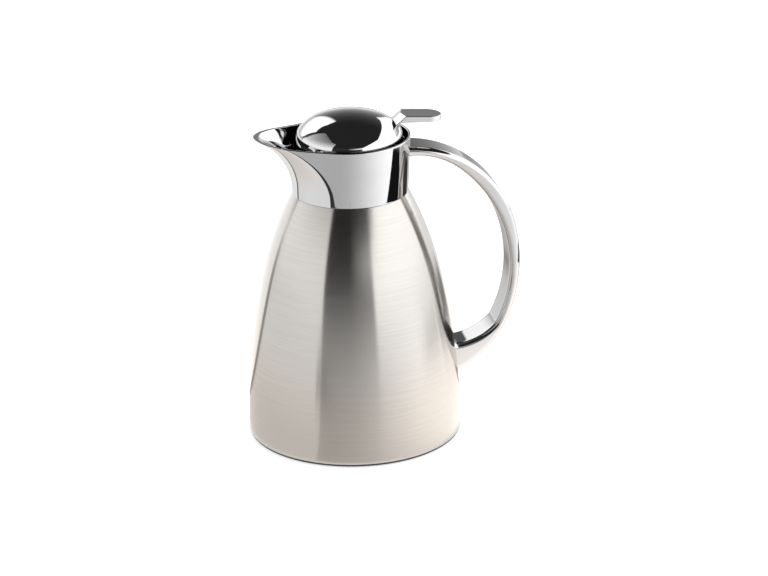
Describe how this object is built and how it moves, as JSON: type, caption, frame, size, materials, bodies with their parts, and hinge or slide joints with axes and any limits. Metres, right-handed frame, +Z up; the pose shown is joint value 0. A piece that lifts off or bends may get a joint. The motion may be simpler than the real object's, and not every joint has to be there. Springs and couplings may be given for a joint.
{
  "type": "vacuum carafe",
  "caption": "Table vacuum carafe with a brushed tapering body, a bright spout collar, a bow handle and a domed flip lid opened by a thumb lever.",
  "frame": {"origin": "centre of the foot's underside, on the body's axis", "axes": "+Z up along the body's axis, +X towards the handle, -X towards the spout"},
  "size_m": [0.18, 0.1402, 0.2184],
  "materials": {
    "brushed_shell": "fine circumferential grain, satin",
    "chrome_collar": "mirror bright",
    "chrome_handle": "mirror bright",
    "chrome_lid": "mirror bright",
    "chrome_lever": "mirror bright",
    "plain_steel": "zinc-plated, dull",
    "black_plastic": "fine moulded grain",
    "foot_rubber": "matt rubber",
    "grey_rubber": "matt rubber",
    "grey_pad": "felted pad",
    "clear_silicone": "translucent silicone",
    "silvered_glass": "silvered on the vacuum side"
  },
  "bodies": {
    "carafe": {"outer_shell": "brushed_shell", "foot_ring": "foot_rubber", "base_ring": "black_plastic", "base_cap": "black_plastic", "flask_outer_wall": "silvered_glass", "flask_inner_wall": "silvered_glass", "flask_spacers": "grey_pad", "flask_cushion": "grey_rubber", "shoulder_cushion": "grey_rubber", "neck_gasket": "clear_silicone", "collar": "chrome_collar", "neck_funnel": "black_plastic", "collar_nut": "black_plastic", "handle": "chrome_handle", "handle_plate": "plain_steel", "handle_lower_screw": "plain_steel", "handle_upper_screw": "plain_steel", "hinge_pin": "plain_steel", "lid_spring": "plain_steel"},
    "lid": {"lid_dome": "chrome_lid", "thumb_lever": "chrome_lever", "lid_carrier": "black_plastic", "stopper_plug": "black_plastic", "stopper_seal": "clear_silicone", "stopper_screws": "plain_steel", "lever_screws": "plain_steel"}
  },
  "joints": [
    {"name": "lid_hinge", "type": "hinge", "parent": "carafe", "child": "lid", "pos_m": [0.033, 0, 0.199], "axis": [0, 1, 0], "range_deg": [0, 36], "stiffness_Nm_per_rad": 0.03, "springref_deg": -40.11}
  ]
}
